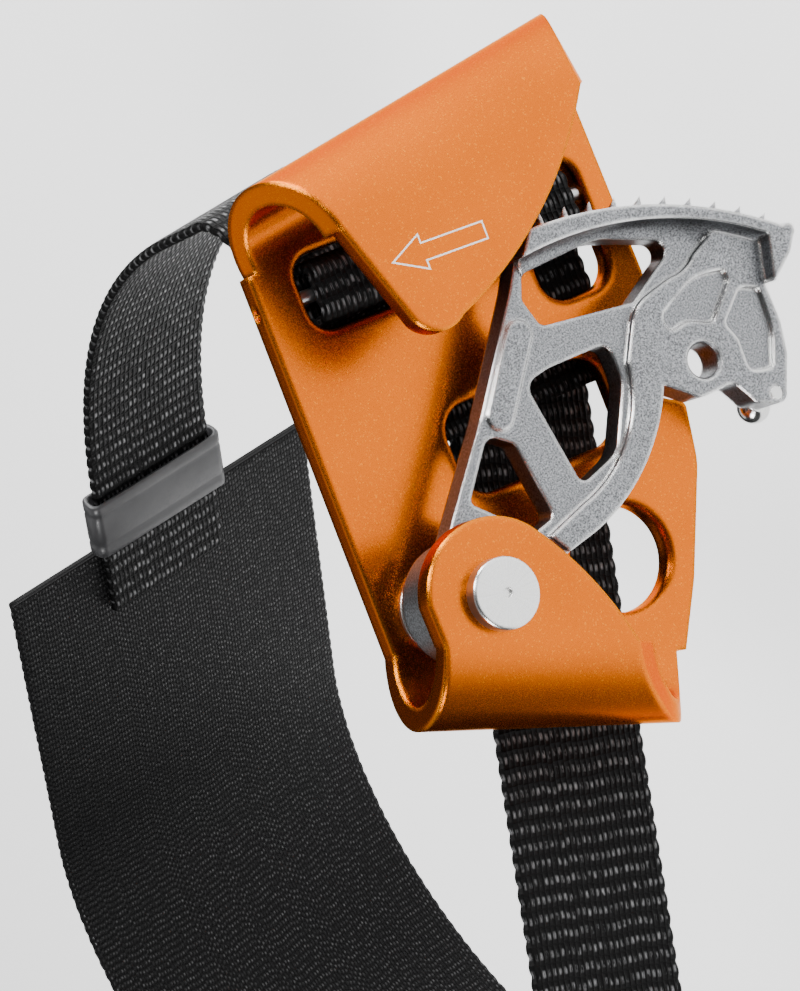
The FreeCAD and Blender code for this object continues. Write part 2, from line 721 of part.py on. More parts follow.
def make_spring():
    """Torsion spring on the sleeve, behind the cam hub, with a leg on the cam and one on the fold."""
    wire = size("spring_wire")
    coil = size("axle_radius") + size("sleeve_wall") + 5 * coil_gap + wire
    turns = size("spring_turns")
    near = size("cam_web") / 2 + wire + 1.5 * coil_gap
    far = size("channel_radius") - size("washer_thick") - 4 * coil_gap - wire
    pitch = (far - near) / turns
    helix = Part.makeHelix(pitch, pitch * turns, coil)
    path = Part.Wire(helix.Edges)
    slope = Vector(0, 1, pitch / (2 * math.pi * coil))
    disc = Part.Wire([Part.makeCircle(wire, Vector(coil, 0, 0), slope)])
    wound = path.makePipeShell([disc], True, True)
    wound.rotate(Vector(), Vector(1, 0, 0), -90)
    wound.translate(Vector(0, near, 0))
    out_x, out_z = at_fold(0, 1)
    finish = math.radians(360 * turns)
    cam_leg = 5.5
    wall = size("fold_reach") + math.sqrt(size("channel_radius") ** 2 - (far + wire) ** 2)
    from_axle = coil * (math.cos(finish) * out_x - math.sin(finish) * out_z)
    fold_leg = wall - from_axle - size("web_gap")
    ends = [
        (Vector(coil, near, 0), Vector(0, 0, -1), cam_leg),
        (Vector(coil * math.cos(finish), far, -coil * math.sin(finish)), Vector(out_x, 0, out_z), fold_leg),
    ]
    legs = []
    for start, way, reach in ends:
        legs.append(Part.makeCylinder(wire, reach, start, way))
        legs.append(Part.makeSphere(wire, start))
    spring = doc.addObject("Part::Feature", "cam_spring")
    spring.Label = "cam_spring"
    spring.Shape = wound.multiFuse(legs)
    seat(spring)
    PIECES.append("cam_spring")
    doc.recompute()


def make_stud():
    """Thumb stud pressed into the lobe, with a ball behind it."""
    front = "-sizes.cam_web / 2 - sizes.cam_rise"
    back = "sizes.cam_web / 2"
    body = turned_piece("thumb_stud", [
        (front, back, "sizes.stud_radius"),
        (back, back + " + 0.8", "sizes.stud_ball - 0.5"),
    ], stud_place)
    ball = body.newObject("PartDesign::AdditiveSphere", "stud_ball")
    ball.setExpression("Radius", "sizes.stud_ball")
    ball.Placement = Placement(Vector(ball_place[0], 0, ball_place[1]), Rotation())
    ball.setExpression("Placement.Base.y", back + " + sizes.stud_ball - 0.05")
    doc.recompute()


# ---------------------------------------------------------------- foot loop

def strip(name, role, width, low, start, heading, moves, thick, axis=None, turn=None):
    """A band of webbing: its path drawn on a plane and padded by the width."""
    body = new_body(name)
    path = new_sketch(body, name + "_path", role, low, axis, turn)
    ribbon(path, start, heading, moves, size(thick))
    pad(body, path, width, name + "_web")
    return body


def make_pin():
    body = new_body("strap_pin")
    end = new_sketch(body, "pin_end", "XY_Plane", "-%g" % pin_along_end, AXIS_Y, "sizes.window_turn")
    draw_circle(end, (pin_across, size("pin_depth")), "sizes.pin_radius")
    pad(body, end, "%g" % (pin_along_end - pin_along_start), "pin_rod")


def make_tab():
    """Webbing folded around the pin; both layers turn down behind the plate."""
    fold = size("tab_fold")
    bend = size("tab_bend")
    front = size("pin_depth") - size("pin_radius") - lap_gap - size("web_thick") / 2
    side = fold / 2 + bend
    layer = outer_radius + size("web_gap") + size("web_thick") / 2
    upper = layer + size("web_thick") + tab_gap
    turn = 1.5
    last_turn = 1.6
    drop = size("tab_drop")
    strip("anchor_tab", "XY_Plane", "%g" % tab_width, "-(%g)" % (window_left + tab_width + 1.7),
          (pin_across - side - turn - drop, layer), 0,
          [(drop,), (turn, -90), (layer - turn - bend - front,), (bend, 90), (fold,), (bend, 90),
           (upper - bend - last_turn - front,), (last_turn, 90), (2 * side + turn - last_turn + drop,)],
          "web_thick", AXIS_Y, "sizes.window_turn")


def sewn_layer():
    """Depth of the middle of the straps that are sewn on the tab."""
    tab = outer_radius + size("web_gap") + 2 * size("web_thick") + tab_gap
    return tab + lap_gap + size("web_thick") / 2


def run(start, heading, moves):
    """End point and heading after the moves of a ribbon."""
    x, y = start
    angle = math.radians(heading)
    for move in moves:
        if len(move) == 1:
            x += move[0] * math.cos(angle)
            y += move[0] * math.sin(angle)
            continue
        radius, degrees = move
        hand = math.copysign(1, degrees)
        x -= hand * radius * math.sin(angle)
        y += hand * radius * math.cos(angle)
        angle += math.radians(degrees)
        x += hand * radius * math.sin(angle)
        y -= hand * radius * math.cos(angle)
    return (x, y), math.degrees(angle)


UPPER_START = (36.0, sewn_layer())
UPPER_BENDS = [(21.5,), (8.5, 90), (14,), (105, 47)]
UPPER_TAIL = 27.0
UPPER_LOW = -28.8
BAND_LOW = -50.0
BAND_LAP = 13.0
BAND_MOVES = [(62,), (60, 103), (30,), (40, 30), (20,)]
STRAP_MIDDLE = -21.96
LOWER_START = 42.5
BUCKLE_START = -80.0
SLOT_WIDE = 11.0
END_SLOT = 4.5
FREE_END = [(38.0,), (1.3, 180), (14.0,)]
SIDE_BAR = 3.5
SLOT_EASE = 1.0
CLOSING_LEG = 22.0
CLOSING_ROOT = 2.2
LAP_LEAD = 2.0
LAP_LONG = 18.0


def make_upper_strap():
    """From the tab over the back of the hood and away round the boot."""
    strip("upper_strap", "XY_Plane", "sizes.web_width", "%g" % UPPER_LOW, UPPER_START, 0,
          UPPER_BENDS + [(UPPER_TAIL,)], "web_thick")


def band_start():
    (x, y), heading = run(UPPER_START, 0, UPPER_BENDS + [(UPPER_TAIL - BAND_LAP,)])
    out = math.radians(heading - 90)
    layer = (size("web_thick") + size("band_thick")) / 2 + lap_gap
    return (x + layer * math.cos(out), y + layer * math.sin(out)), heading


def make_band():
    """Wide band under the boot, sewn on the end of the upper strap."""
    start, heading = band_start()
    strip("arch_band", "XY_Plane", "sizes.band_width", "%g" % BAND_LOW, start, heading,
          BAND_MOVES, "band_thick")


def buckle_edges():
    """Bars of the buckle along the lower strap: (start, end) of each, going down."""
    bar = size("buckle_bar")
    edges = []
    here = BUCKLE_START
    for slot in (SLOT_WIDE, SLOT_WIDE, END_SLOT, 0):
        edges.append((here, here - bar))
        here -= bar + slot
    return edges


def make_lower_strap():
    """From the tab down behind the plate, woven through the buckle, to its free end."""
    layer = sewn_layer()
    bars = buckle_edges()
    bend = 2.0
    slant = 45.0
    dip = size("buckle_thick") + 2 * size("web_gap") + size("web_thick")
    rise = dip - 2 * bend * (1 - math.cos(math.radians(slant)))
    ramp = rise / math.sin(math.radians(slant))
    reach = 2 * bend * math.sin(math.radians(slant)) + ramp * math.cos(math.radians(slant))
    middle = (bars[1][0] + bars[1][1]) / 2
    flat_part = size("buckle_bar") + 0.6
    first = LOWER_START - (middle + flat_part / 2 + reach)
    over_eye = ramp + eye_lift() / math.sin(math.radians(slant))
    strip("lower_strap", "XY_Plane", "sizes.web_width", "%g - sizes.web_width / 2" % STRAP_MIDDLE,
          (LOWER_START, layer), 180,
          [(first,), (bend, -slant), (ramp,), (bend, slant), (flat_part,),
           (bend, slant), (over_eye,), (bend, -slant)] + FREE_END,
          "web_thick", AXIS_Y, "sizes.strap_turn")


def eye_turn():
    """Radius of the closing strap's middle line around the corners of the buckle's end bar."""
    corner = math.hypot(size("buckle_bar") / 2, size("buckle_thick") / 2)
    return corner + size("web_gap") + size("web_thick") / 2


def eye_lift():
    """How far the free end stands in front of its layer, to pass over the eye."""
    eye_front = size("web_thick") / 2 + size("web_gap") + size("buckle_thick") / 2 - eye_turn()
    return size("web_thick") + size("web_gap") - eye_front


def make_buckle():
    """Ladder buckle: a plate with two wide slots for the lower strap and one for the closing strap."""
    body = new_body("buckle")
    bars = buckle_edges()
    front = sewn_layer() + size("web_thick") / 2 + size("web_gap")
    wide = size("web_width") / 2 + SLOT_EASE
    side = wide + SIDE_BAR
    plate = new_sketch(body, "buckle_outline", "XY_Plane", "%g" % (STRAP_MIDDLE - side), AXIS_Y,
                       "sizes.strap_turn")
    draw_path(plate, (bars[0][0], front), [
        (bars[0][0], front + size("buckle_thick")),
        (bars[-1][1], front + size("buckle_thick")),
        (bars[-1][1], front),
    ])
    pad(body, plate, "%g" % (2 * side), "buckle_plate")
    slots = new_sketch(body, "buckle_slots", "XY_Plane", "%g" % (STRAP_MIDDLE - wide), AXIS_Y,
                       "sizes.strap_turn")
    for upper, lower in zip(bars, bars[1:]):
        draw_path(slots, (upper[1], front - 1), [
            (upper[1], front + size("buckle_thick") + 1),
            (lower[0], front + size("buckle_thick") + 1),
            (lower[0], front - 1),
        ])
    cut(body, slots, "%g" % (2 * wide), "buckle_slot_cuts", reverse=True)


def make_closing_strap():
    """Eye on the buckle's end bar, then a twisting run to the band."""
    bars = buckle_edges()
    front = sewn_layer() + size("web_thick") / 2 + size("web_gap")
    middle = (bars[-1][0] + bars[-1][1]) / 2
    turn = eye_turn()
    depth = front + size("buckle_thick") / 2
    out = middle - turn
    layer = size("web_thick") + lap_gap
    step = 2 * turn - layer
    slant = 40.0
    bend = 2.0
    ramp = (step - 2 * bend * (1 - math.cos(math.radians(slant)))) / math.sin(math.radians(slant))
    rise = 2 * bend * math.sin(math.radians(slant)) + ramp * math.cos(math.radians(slant))
    root = size("buckle_thick") / 2 + CLOSING_ROOT
    top = depth + CLOSING_LEG
    body = strip("closing_strap", "XY_Plane", "sizes.web_width",
                 "%g - sizes.web_width / 2" % STRAP_MIDDLE, (out + layer, top), -90,
                 [(top - depth - root - rise,), (bend, slant), (ramp,), (bend, -slant), (root,),
                  (turn, -180), (top - depth,)],
                 "web_thick", AXIS_Y, "sizes.strap_turn")
    angle = math.radians(size("strap_turn"))
    centre = (out * math.cos(angle) + STRAP_MIDDLE * math.sin(angle),
              -out * math.sin(angle) + STRAP_MIDDLE * math.cos(angle))
    (band_x, band_y), _ = run(*band_start(), BAND_MOVES)
    sewn_x = band_x + (size("web_thick") + size("band_thick")) / 2 + lap_gap
    sections = [(centre, size("strap_turn"), top), ((sewn_x, 0.0), 0.0, band_y - LAP_LEAD)]
    sketches = []
    for number, (place, degrees, lift) in enumerate(sections):
        section = new_sketch(body, "twist_%d" % number, "XZ_Plane", "-%g" % lift)
        tilt = math.radians(degrees)
        thick = size("web_thick") / 2
        half = size("web_width") / 2
        corners = []
        for across, along in ((-thick, -half), (thick, -half), (thick, half), (-thick, half)):
            corners.append((place[0] + across * math.cos(tilt) + along * math.sin(tilt),
                            place[1] - across * math.sin(tilt) + along * math.cos(tilt)))
        draw_path(section, corners[0], corners[1:])
        sketches.append(section)
    doc.recompute()
    loft = body.newObject("PartDesign::AdditiveLoft", "twist")
    loft.Profile = sketches[0]
    loft.Sections = [sketches[1]]
    doc.recompute()
    lap = new_sketch(body, "lap_outline", "XZ_Plane", "-%g" % (band_y - LAP_LEAD + LAP_LONG))
    half = size("web_width") / 2
    thick = size("web_thick") / 2
    draw_path(lap, (sewn_x - thick, -half), [
        (sewn_x + thick, -half), (sewn_x + thick, half), (sewn_x - thick, half)])
    pad(body, lap, "%g" % LAP_LONG, "lap")


def slab(name, centre, heading, tilt, length, thick, width):
    """Box with its middle at a point of the path: along the heading, through, and across."""
    box = doc.addObject("Part::Box", name)
    box.Length = length
    box.Width = thick
    box.Height = width
    turn = Rotation(AXIS_Y, tilt).multiply(Rotation(Vector(0, 0, 1), heading))
    corner = turn.multVec(Vector(-length / 2, -thick / 2, -width / 2))
    middle = Rotation(AXIS_Y, tilt).multVec(Vector(*centre))
    base = middle + corner
    box.Placement = Placement(base, turn)
    seat(box, " + %.9f" % base.x, "%.9f" % base.y, " + %.9f" % base.z)
    return box


def make_keeper():
    """Clear keeper sleeve around the upper strap, above the band."""
    long = size("keeper_long")
    (x, y), heading = run(UPPER_START, 0, UPPER_BENDS + [(long / 2 + 0.6,)])
    middle = (x, y, UPPER_LOW + size("web_width") / 2)
    inner_thick = size("web_thick") + 0.7
    inner_wide = size("web_width") + 1.0
    wall = size("keeper_wall")
    outer = slab("keeper_outer", middle, heading, 0, long, inner_thick + 2 * wall, inner_wide + 2 * wall)
    inner = slab("keeper_inner", middle, heading, 0, long + 2, inner_thick, inner_wide)
    sleeve = doc.addObject("Part::Cut", "keeper")
    sleeve.Label = "keeper"
    sleeve.Base = outer
    sleeve.Tool = inner
    PIECES.append("keeper")
    doc.recompute()


def stitches(name, places, heading, tilt, width):
    """Rows of thread across a sewn lap, lying on the webbing."""
    rows = []
    for number, centre in enumerate(places):
        rows.append(slab("%s_row_%d" % (name, number), centre, heading, tilt, 0.9, size("thread"), width))
    group = doc.addObject("Part::Compound", name)
    group.Label = name
    group.Links = rows
    PIECES.append(name)
    doc.recompute()


def make_stitches():
    width = size("web_width") - 3.0
    top = sewn_layer() + size("web_thick") / 2 + size("thread") / 2
    middle = UPPER_LOW + size("web_width") / 2
    stitches("stitches_upper", [(UPPER_START[0] + 2 + 3.2 * i, top, middle) for i in range(4)], 0, 0, width)
    stitches("stitches_lower", [(LOWER_START - 2 - 3.2 * i, top, STRAP_MIDDLE) for i in range(4)], 0,
             size("strap_turn"), width)
    start, heading = band_start()
    way = math.radians(heading)
    lift = (size("band_thick") + size("thread")) / 2
    places = []
    for i in range(4):
        along = 2 + 3.0 * i
        places.append((start[0] + along * math.cos(way) + lift * math.sin(way),
                       start[1] + along * math.sin(way) - lift * math.cos(way), middle))
    stitches("stitches_band", places, heading, 0, width)
    (x, y), heading = run(start, heading, BAND_MOVES)
    lap_x = x + size("band_thick") / 2 + lap_gap + size("web_thick") + size("thread") / 2
    stitches("stitches_closing", [(lap_x, y + 3 + 3.2 * i, 0) for i in range(4)], 90, 0, width)


make_frame()
make_cam()
make_axle()
make_axle_rings()
make_spring()
make_stud()
make_pin()
make_tab()
make_upper_strap()
make_band()
make_lower_strap()
make_buckle()
make_closing_strap()
make_keeper()
make_stitches()
doc.recompute()


def check_and_write():
    os.makedirs("parts", exist_ok=True)
    for piece in doc.Objects:
        if "Invalid" in piece.State or "Error" in piece.State:
            raise RuntimeError(piece.Name + " failed: " + str(piece.State))
    bodies = [o for o in doc.Objects if o.isDerivedFrom("PartDesign::Body") or o.Name in PIECES]
    for piece in bodies:
        shape = piece.Shape
        if shape.isNull() or not shape.isValid():
            raise RuntimeError(piece.Label + " has no valid shape")
        print(piece.Label, len(shape.Solids), round(shape.Volume, 1), shape.BoundBox)
        shape.exportStep("parts/" + piece.Label + ".step")

check_and_write()
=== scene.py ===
import math

import bpy
from mathutils import Matrix, Vector


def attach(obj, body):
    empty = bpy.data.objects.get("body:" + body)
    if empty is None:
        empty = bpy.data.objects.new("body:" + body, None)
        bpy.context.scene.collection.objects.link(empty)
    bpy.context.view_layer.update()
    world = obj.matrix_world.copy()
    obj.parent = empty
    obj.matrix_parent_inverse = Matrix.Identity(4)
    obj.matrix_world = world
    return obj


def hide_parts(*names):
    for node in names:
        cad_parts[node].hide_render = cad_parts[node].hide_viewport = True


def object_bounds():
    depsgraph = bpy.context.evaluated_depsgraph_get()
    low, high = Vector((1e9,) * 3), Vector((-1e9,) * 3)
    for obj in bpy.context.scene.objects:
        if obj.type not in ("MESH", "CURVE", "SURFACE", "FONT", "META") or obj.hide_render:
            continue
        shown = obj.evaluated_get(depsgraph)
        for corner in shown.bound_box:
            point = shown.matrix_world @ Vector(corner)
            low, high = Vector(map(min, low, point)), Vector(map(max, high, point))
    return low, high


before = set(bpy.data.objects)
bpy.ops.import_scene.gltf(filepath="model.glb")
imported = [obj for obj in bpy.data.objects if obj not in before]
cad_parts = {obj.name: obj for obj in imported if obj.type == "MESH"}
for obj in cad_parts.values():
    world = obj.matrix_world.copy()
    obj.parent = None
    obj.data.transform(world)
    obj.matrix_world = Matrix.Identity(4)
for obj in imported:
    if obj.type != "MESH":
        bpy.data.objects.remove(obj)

# Foot ascender.  Lengths are millimetres from the cam axle until place() makes them metres
# in the row frame.  Sizes in the materials are metres.
MM = 0.001
AXLE = Vector((-56.5, 0.0, 30.0))
THUMB_STUD = (0.75, 0.0, -61.1)
WEBBING_PITCH = 2.7
BAND_PITCH = 1.3
cad_low, cad_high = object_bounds()


def place(point):
    return (Vector(point) + AXLE) * MM


# ---------------------------------------------------------------- material nodes

class Shader:
    """A material being built: add() makes a node and links or sets its inputs."""

    def __init__(self, name):
        self.material = bpy.data.materials.new(name)
        self.material.use_nodes = True
        self.tree = self.material.node_tree
        self.tree.nodes.clear()

    def add(self, kind, inputs=None, **settings):
        node = self.tree.nodes.new(kind)
        for key, value in settings.items():
            setattr(node, key, value)
        for key, value in (inputs or {}).items():
            self.put(node.inputs[key], value)
        return node

    def put(self, socket, value):
        if isinstance(value, bpy.types.NodeSocket):
            self.tree.links.new(value, socket)
        else:
            socket.default_value = value

    def maths(self, operation, first, second=None, clamp=False):
        inputs = {0: first}
        if second is not None:
            inputs[1] = second
        node = self.add("ShaderNodeMath", inputs, operation=operation, use_clamp=clamp)
        return node.outputs[0]

    def noise(self, vector, scale, detail=3.0, rough=0.5):
        inputs = {"Vector": vector, "Scale": scale, "Detail": detail, "Roughness": rough}
        return self.add("ShaderNodeTexNoise", inputs).outputs["Fac"]

    def spread(self, value, low, high, start=0.0, end=1.0):
        """Value from low..high brought to start..end, held at both ends."""
        inputs = {"Value": value, "From Min": low, "From Max": high, "To Min": start, "To Max": end}
        return self.add("ShaderNodeMapRange", inputs).outputs["Result"]

    def stretch(self, vector, scale):
        return self.add("ShaderNodeMapping", {"Vector": vector, "Scale": scale}).outputs[0]

    def split(self, vector):
        return self.add("ShaderNodeSeparateXYZ", {"Vector": vector}).outputs

    def line(self, value):
        """A texture place that only moves with one value."""
        return self.add("ShaderNodeCombineXYZ", {"X": value}).outputs[0]

    def blend(self, factor, first, second):
        """From the first colour to the second."""
        node = self.add("ShaderNodeMix", data_type="RGBA")
        self.put(node.inputs[0], factor)
        self.put(node.inputs[6], first)
        self.put(node.inputs[7], second)
        return node.outputs[2]

    def here(self):
        return self.add("ShaderNodeTexCoord").outputs["Object"]

    def edges(self, radius, low=0.02, high=0.35):
        """Softened normal of the edges, and how near a point is to one."""
        bevel = self.add("ShaderNodeBevel", {"Radius": radius}, samples=6)
        normal = self.add("ShaderNodeNewGeometry").outputs["Normal"]
        inputs = {0: bevel.outputs[0], 1: normal}
        match = self.add("ShaderNodeVectorMath", inputs, operation="DOT_PRODUCT").outputs["Value"]
        return bevel.outputs[0], self.spread(self.maths("SUBTRACT", 1.0, match), low, high)

    def bump(self, height, depth, strength=1.0, normal=None):
        inputs = {"Height": height, "Distance": depth, "Strength": strength}
        if normal is not None:
            inputs["Normal"] = normal
        return self.add("ShaderNodeBump", inputs).outputs[0]

    def finish(self, **inputs):
        surface = self.add("ShaderNodeBsdfPrincipled")
        for key, value in inputs.items():
            self.put(surface.inputs[key.replace("_", " ")], value)
        out = self.add("ShaderNodeOutputMaterial")
        self.tree.links.new(surface.outputs[0], out.inputs["Surface"])
        return self.material


def anodised():
    """Orange anodised plate: satin, finely blasted, with painted sparkle glints and a painted highlight
    along the edges.
    """
    s = Shader("anodised_plate")
    here = s.here()
    soft, edge = s.edges(0.0014)
    grain = s.noise(here, 5200.0, 2.0, 0.6)
    cloud = s.noise(here, 70.0, 3.0)
    # Painted highlight: Voronoi specks turn the base colour bright orange as sparkle glints.
    cells = s.add("ShaderNodeTexVoronoi", {"Vector": here, "Scale": 5200.0}).outputs["Color"]
    painted_glint = s.spread(s.add("ShaderNodeSeparateColor", {"Color": cells}).outputs[0], 0.90, 1.0)
    colour = s.blend(cloud, (0.46, 0.088, 0.0, 1), (0.56, 0.115, 0.0, 1))
    colour = s.blend(s.maths("MULTIPLY", painted_glint, 0.30), colour, (0.95, 0.34, 0.01, 1))
    # Painted highlight: the base colour turns bright orange near the edges, as rounded edges catching
    # the light.
    colour = s.blend(s.maths("MULTIPLY", edge, 0.60), colour, (0.90, 0.33, 0.01, 1))
    rough = s.spread(grain, 0.3, 0.7, 0.22, 0.30)
    return s.finish(Base_Color=colour, Metallic=1.0, Roughness=rough,
                    Specular_Tint=(1.0, 0.45, 0.03, 1), Normal=s.bump(grain, 0.00002, 0.35, soft))


def cast_steel():
    """Blasted casting with bright worn edges."""
    s = Shader("cast_steel")
    here = s.here()
    soft, edge = s.edges(0.0010, 0.006, 0.16)
    pits = s.noise(here, 3600.0, 2.0, 0.7)
    cloud = s.noise(here, 160.0, 3.0)
    polish = s.maths("MULTIPLY", edge, s.spread(cloud, 0.30, 0.55, 0.55, 1.0), clamp=True)
    # Painted shade: the base colour is darkest where the pits of the bump are lowest.
    colour = s.blend(s.spread(pits, 0.35, 0.68), (0.07, 0.072, 0.076, 1), (0.33, 0.34, 0.355, 1))
    colour = s.blend(polish, colour, (0.78, 0.78, 0.77, 1))
    rough = s.spread(polish, 0.0, 1.0, 0.38, 0.13)
    strength = s.spread(polish, 0.0, 1.0, 0.55, 0.06)
    return s.finish(Base_Color=colour, Metallic=1.0, Roughness=rough,
                    Normal=s.bump(pits, 0.00007, strength, soft))


def turned_steel(name, centre, tone, polish):
    """Turned steel: fine rings around an axis along Y, a painted sheen in rays, and a painted highlight
    along the edges.
    """
    s = Shader(name)
    here = s.split(s.here())
    soft, edge = s.edges(0.0004)
    across = s.maths("SUBTRACT", here["X"], centre.x)
    along = s.maths("SUBTRACT", here["Z"], centre.z)
    square = s.maths("ADD", s.maths("MULTIPLY", across, across), s.maths("MULTIPLY", along, along))
    rings = s.noise(s.line(s.maths("SQRT", square)), 6500.0, 3.0, 0.8)
    painted_sheen = s.noise(s.line(s.maths("ARCTAN2", along, across)), 9.0, 4.0, 0.75)
    # Painted sheen: the base colour lightens and darkens in rays around the axis.
    colour = s.blend(painted_sheen, (tone * 0.62, tone * 0.62, tone * 0.61, 1),
                     (tone, tone, tone * 0.985, 1))
    # Painted highlight: the base colour turns pale near the edges.
    colour = s.blend(s.maths("MULTIPLY", edge, 0.6), colour, (0.9, 0.9, 0.89, 1))
    rough = s.spread(rings, 0.2, 0.8, polish, polish + 0.14)
    return s.finish(Base_Color=colour, Metallic=1.0, Roughness=rough,
                    Normal=s.bump(rings, 0.00003, 0.45, soft))


def drawn_steel(name, tone, rough):
    """Plain steel with handling scratches and a painted highlight along the edges."""
    s = Shader(name)
    soft, edge = s.edges(0.0004)
    scratch = s.noise(s.stretch(s.here(), (300.0, 3000.0, 900.0)), 1.0, 4.0, 0.7)
    colour = s.blend(scratch, (tone * 0.75, tone * 0.75, tone * 0.74, 1), (tone, tone, tone, 1))
    # Painted highlight: the base colour turns pale near the edges.
    colour = s.blend(s.maths("MULTIPLY", edge, 0.5), colour, (0.85, 0.85, 0.84, 1))
    return s.finish(Base_Color=colour, Metallic=1.0,
                    Roughness=s.spread(scratch, 0.3, 0.7, rough, rough + 0.2),
                    Normal=s.bump(scratch, 0.00002, 0.5, soft))


def woven_cloth(name, pitch, yarn, dark, light, shine, jitter, depth):
    """Webbing: warp yarns that dive under the weft every pitch, with painted glints on their crowns and
    painted shade where they dive.

    The weave map holds the distance along the strap and across it, in metres."""
    s = Shader(name)
    weave = s.add("ShaderNodeUVMap", uv_map="weave").outputs[0]
    way = s.split(weave)
    rows = s.maths("DIVIDE", way["X"], pitch)
    columns = s.maths("DIVIDE", way["Y"], yarn)
    own = s.add("ShaderNodeTexWhiteNoise", {"W": s.maths("FLOOR", columns)},
                noise_dimensions="1D").outputs["Value"]
    phase = s.maths("ADD", rows, s.maths("MULTIPLY", own, jitter))
    crown = s.maths("ABSOLUTE", s.maths("SINE", s.maths("MULTIPLY", phase, math.pi)))
    round_yarn = s.maths("ABSOLUTE", s.maths("SINE", s.maths("MULTIPLY", columns, math.pi)))
    height = s.maths("MULTIPLY", s.maths("POWER", crown, 0.55), s.maths("POWER", round_yarn, 0.5))
    fibre = s.noise(s.stretch(weave, (900.0, 9000.0, 1.0)), 1.0, 3.0, 0.6)
    patchy = s.noise(s.stretch(weave, (500.0, 900.0, 1.0)), 1.0, 2.0)
    # Painted highlight: a random share of the yarn crowns is marked for glints.
    top = s.maths("MULTIPLY", s.spread(crown, 0.72, 0.98), s.spread(round_yarn, 0.45, 0.95))
    lit = s.spread(s.maths("MULTIPLY", fibre, patchy), 0.20, 0.36)
    painted_glint = s.maths("MULTIPLY", top, lit)
    # Painted shade: the yarns darken to a third of their tone where they dive under the weft and
    # between yarns.
    colour = s.blend(s.spread(height, 0.2, 1.0), (dark * 0.35, dark * 0.35, dark * 0.37, 1),
                     (dark, dark, dark * 1.06, 1))
    # Painted highlight: the marked crowns are lightened towards the glint tone.
    colour = s.blend(s.maths("MULTIPLY", painted_glint, shine), colour, (light, light, light * 1.03, 1))
    relief = s.maths("ADD", height, s.maths("MULTIPLY", fibre, 0.22))
    return s.finish(Base_Color=colour, Roughness=s.spread(painted_glint, 0.0, 1.0, 0.55, 0.28),
                    Specular_IOR_Level=s.spread(painted_glint, 0.0, 1.0, 0.10, 0.60),
                    Normal=s.bump(relief, depth))


def thread_cloth():
    """Twisted black thread."""
    s = Shader("thread")
    inputs = {"Vector": s.here(), "Scale": 700.0, "Distortion": 1.5}
    twist = s.add("ShaderNodeTexWave", inputs).outputs["Fac"]
    # Painted shade and highlight: the thread darkens in the grooves of its twist and lightens on its
    # crowns.
    colour = s.blend(twist, (0.02, 0.02, 0.022, 1), (0.09, 0.09, 0.095, 1))
    return s.finish(Base_Color=colour, Roughness=0.5, Normal=s.bump(twist, 0.00006, 0.8))


def milky_plastic():
    """Smoky, half clear plastic with scuffs."""
    s = Shader("milky_plastic")
    here = s.here()
    cloud = s.noise(here, 130.0, 4.0)
    scuff = s.noise(here, 1500.0, 3.0, 0.7)
    colour = s.blend(cloud, (0.02, 0.02, 0.022, 1), (0.07, 0.07, 0.073, 1))
    return s.finish(Base_Color=colour, Roughness=s.spread(scuff, 0.3, 0.7, 0.28, 0.5),
                    Transmission_Weight=0.45, IOR=1.45, Normal=s.bump(scuff, 0.00003, 0.4))


def white_print():
    """Ink of the printed arrow."""
    s = Shader("white_print")
    speck = s.noise(s.here(), 4000.0, 2.0)
    colour = s.blend(speck, (0.80, 0.77, 0.70, 1), (0.95, 0.93, 0.88, 1))
    return s.finish(Base_Color=colour, Roughness=0.45)


ORANGE = anodised()
CAST = cast_steel()
RIVET = turned_steel("turned_rivet", place((0.0, 0.0, 0.0)), tone=0.80, polish=0.20)
STUD = turned_steel("turned_stud", place(THUMB_STUD), tone=0.70, polish=0.10)
WIRE = drawn_steel("spring_wire", tone=0.55, rough=0.25)
BUCKLE = drawn_steel("tumbled_steel", tone=0.60, rough=0.22)
WEBBING = woven_cloth("webbing", WEBBING_PITCH * MM, yarn=0.00092, dark=0.0016, light=0.16,
                      shine=0.9, jitter=0.16, depth=0.00034)
BAND = woven_cloth("band_cloth", BAND_PITCH * MM, yarn=0.00062, dark=0.005, light=0.035,
                   shine=0.4, jitter=0.5, depth=0.00014)
THREAD = thread_cloth()
PLASTIC = milky_plastic()
PRINT = white_print()

LOOKS = {
    "frame": ORANGE, "cam": CAST, "axle": RIVET, "sleeve": RIVET, "washer_front": RIVET,
    "washer_rear": RIVET, "rivet_washer": RIVET, "cam_spring": WIRE, "thumb_stud": STUD,
    "strap_pin": WIRE, "buckle": BUCKLE,
}
for node, material in LOOKS.items():
    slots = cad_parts[node].data.materials
    slots.clear()
    slots.append(material)


# ---------------------------------------------------------------- sizes of the foot loop

WEB_WIDTH = 25.0
WEB = 1.8
CLOTH = 1.6
GAP = 0.3
TAB_GAP = 0.05
LAP_GAP = 0.1
PLATE_BACK = 11.5
SEWN = PLATE_BACK + GAP + 2 * WEB + TAB_GAP + LAP_GAP + WEB / 2
WINDOW_TURN = 9.5
STRAP_TURN = 23.7
STRAP_MIDDLE = -21.96
UPPER_MIDDLE = -16.3
UPPER_START = (36.0, SEWN)
UPPER_BENDS = [(21.5,), (8.5, 90), (14,), (105, 47)]
UPPER_TAIL = 27.0
BAND_LAP = 13.0
BAND_MOVES = [(62,), (60, 103), (30,), (40, 30), (20,)]
LOWER_START = 42.5
BAR = 4.0
BUCKLE_THICK = 3.2
LAP_LEAD = 2.0
STITCH_WIDTH = 22.0
STITCH_LIFT = 0.12
STEP = 0.45
X_WAY = Vector((1.0, 0.0, 0.0))
Y_WAY = Vector((0.0, 1.0, 0.0))
Z_WAY = Vector((0.0, 0.0, 1.0))


# ---------------------------------------------------------------- mesh helpers

